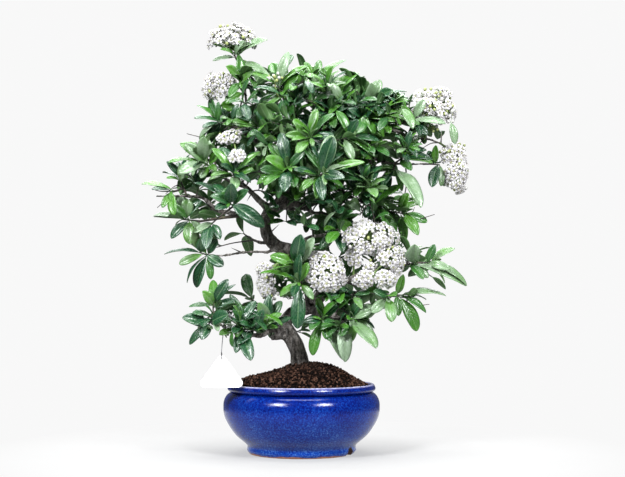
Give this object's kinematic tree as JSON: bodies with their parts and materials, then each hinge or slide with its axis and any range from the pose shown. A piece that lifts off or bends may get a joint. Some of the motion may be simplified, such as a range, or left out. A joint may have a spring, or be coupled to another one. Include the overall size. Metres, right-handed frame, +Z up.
{
  "type": "pyracantha bonsai",
  "caption": "Flowering firethorn bonsai with an S-curved trunk, leafy sprays and white flower heads, in a round glazed pot of granular soil with a blank label card.",
  "frame": {"origin": "middle of the bounding box, on the surface that the pot stands on", "axes": "+Z up along the tree, +X to the right seen from the front, +Y away from the viewer at the front"},
  "size_m": [0.3904, 0.2152, 0.5168],
  "materials": {
    "glaze": "gloss",
    "soil": "matte",
    "bark": "matte",
    "leaf": "satin",
    "petal": "matte",
    "card": "satin",
    "wire": "satin"
  },
  "bodies": {
    "root": {"pot": "glaze", "soil": "soil", "wood": "bark", "label_card": "card", "label_wire": "wire", "flower_head_top": "petal", "flower_head_upper_left": "petal", "flower_buds_upper_left": "petal", "flower_head_left": "petal", "flower_head_low_left": "petal", "flower_head_middle": "petal", "flower_head_right_upper": "petal", "flower_head_right_lower": "petal", "flower_head_upper_right": "petal", "flower_head_far_right": "petal", "flower_buds_right": "petal", "spray_top_left": "leaf", "spray_upper_left": "leaf", "spray_upper_inner": "leaf", "spray_left_high": "leaf", "spray_left_inner": "leaf", "spray_crown_top": "leaf", "spray_crown_right": "leaf", "spray_crown_middle": "leaf", "spray_crown_front": "leaf", "spray_front_middle": "leaf", "spray_front_left": "leaf", "spray_left_middle": "leaf", "spray_left_outer": "leaf", "spray_left_big_leaf": "leaf", "spray_left_tip": "leaf", "spray_left_shoot": "leaf", "spray_left_hanging": "leaf", "spray_low_left_outer": "leaf", "spray_low_left_middle": "leaf", "spray_low_left_inner": "leaf", "spray_trunk_front": "leaf", "spray_centre_right": "leaf", "spray_right_middle": "leaf", "spray_right_upper_middle": "leaf", "spray_right_top": "leaf", "spray_right_far": "leaf", "spray_right_long": "leaf", "spray_low_right_outer": "leaf", "spray_low_front": "leaf", "spray_low_right_inner": "leaf", "spray_back_low_crown": "leaf", "spray_back_crown": "leaf", "spray_back_left": "leaf", "spray_back_right": "leaf", "spray_back_low_right": "leaf", "spray_back_low_left": "leaf", "spray_back_top": "leaf", "spray_back_upper_right": "leaf", "spray_back_branch_left": "leaf", "spray_back_upper_left": "leaf", "spray_back_lowest": "leaf", "spray_back_trunk": "leaf"}
  },
  "joints": []
}
